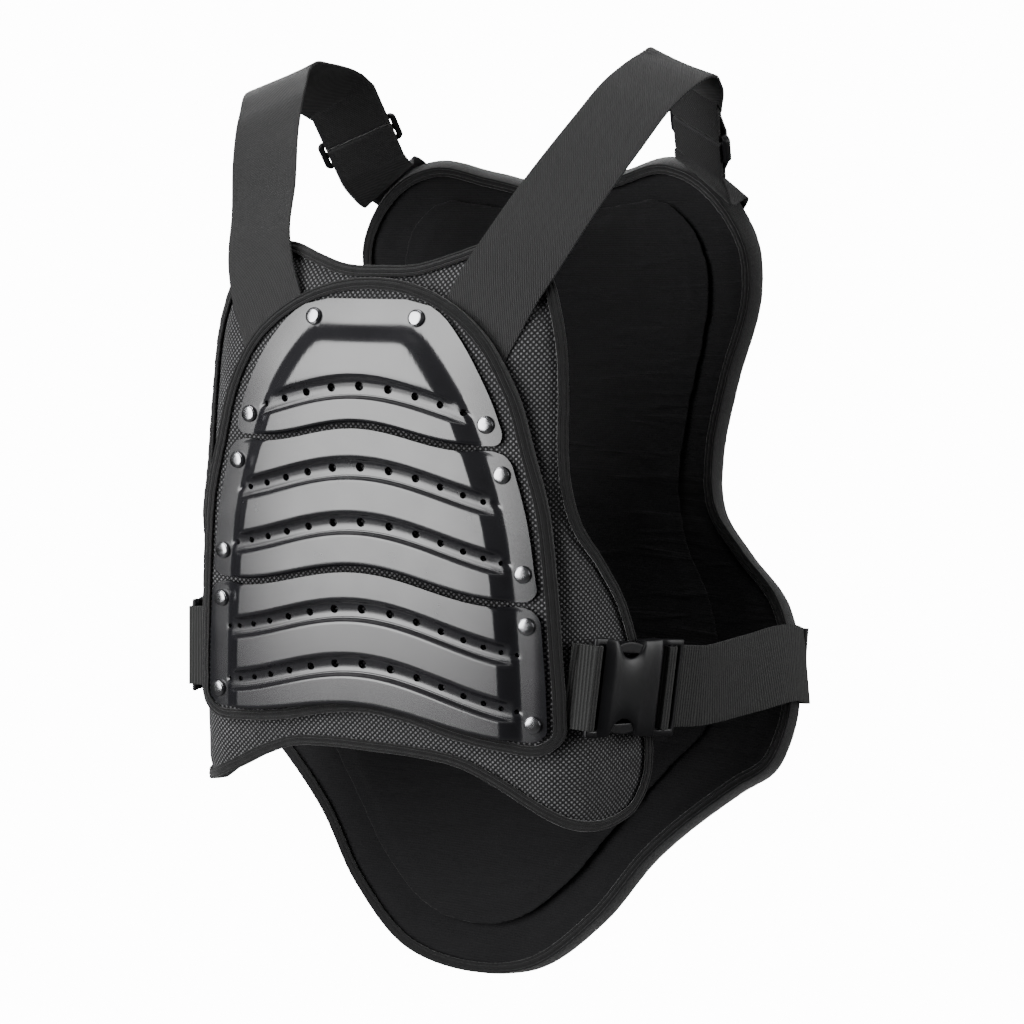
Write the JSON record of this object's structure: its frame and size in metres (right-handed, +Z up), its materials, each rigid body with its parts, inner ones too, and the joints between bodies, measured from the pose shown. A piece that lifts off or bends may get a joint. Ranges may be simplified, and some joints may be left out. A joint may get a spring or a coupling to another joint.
{
  "type": "motorcycle body protector vest",
  "caption": "Sleeveless body protector: padded front panel with riveted vented chest plates, padded back panel, shoulder straps with slides, and a waist belt with side release buckles.",
  "frame": {"origin": "midway between the undersides of the two shoulder straps at their highest points, where the wearer's shoulders carry the vest", "axes": "+Z up, +X to the right seen from the front, +Y from the chest to the back"},
  "size_m": [0.4314, 0.3181, 0.616],
  "materials": {
    "mesh_cloth": "air mesh with light grey dots",
    "tape": "matte sewn edge tape",
    "plate_plastic": "satin",
    "rivet_metal": "polished black nickel",
    "webbing": "fine twill webbing",
    "elastic": "crosswise ribbed elastic",
    "buckle_plastic": "satin",
    "brushed_cloth": "brushed, matte"
  },
  "bodies": {
    "root": {"front_panel": "mesh_cloth", "front_binding": "tape", "chest_pad": "mesh_cloth", "chest_binding": "tape", "back_panel": "brushed_cloth", "back_binding": "tape", "back_pad": "brushed_cloth", "plate_upper": "plate_plastic", "plate_middle": "plate_plastic", "plate_lower": "plate_plastic", "rivet_1_right": "rivet_metal", "rivet_1_left": "rivet_metal", "rivet_2_right": "rivet_metal", "rivet_2_left": "rivet_metal", "rivet_3_right": "rivet_metal", "rivet_3_left": "rivet_metal", "rivet_4_right": "rivet_metal", "rivet_4_left": "rivet_metal", "rivet_5_right": "rivet_metal", "rivet_5_left": "rivet_metal", "rivet_6_right": "rivet_metal", "rivet_6_left": "rivet_metal", "shoulder_strap_right": "webbing", "shoulder_strap_left": "webbing", "adjuster_right": "buckle_plastic", "adjuster_left": "buckle_plastic", "back_strap_right": "webbing", "back_strap_left": "webbing", "belt_stub_right": "webbing", "belt_stub_left": "webbing", "buckle_socket_right": "buckle_plastic", "buckle_socket_left": "buckle_plastic", "buckle_plug_right": "buckle_plastic", "buckle_plug_left": "buckle_plastic", "waist_belt": "elastic"}
  },
  "joints": []
}
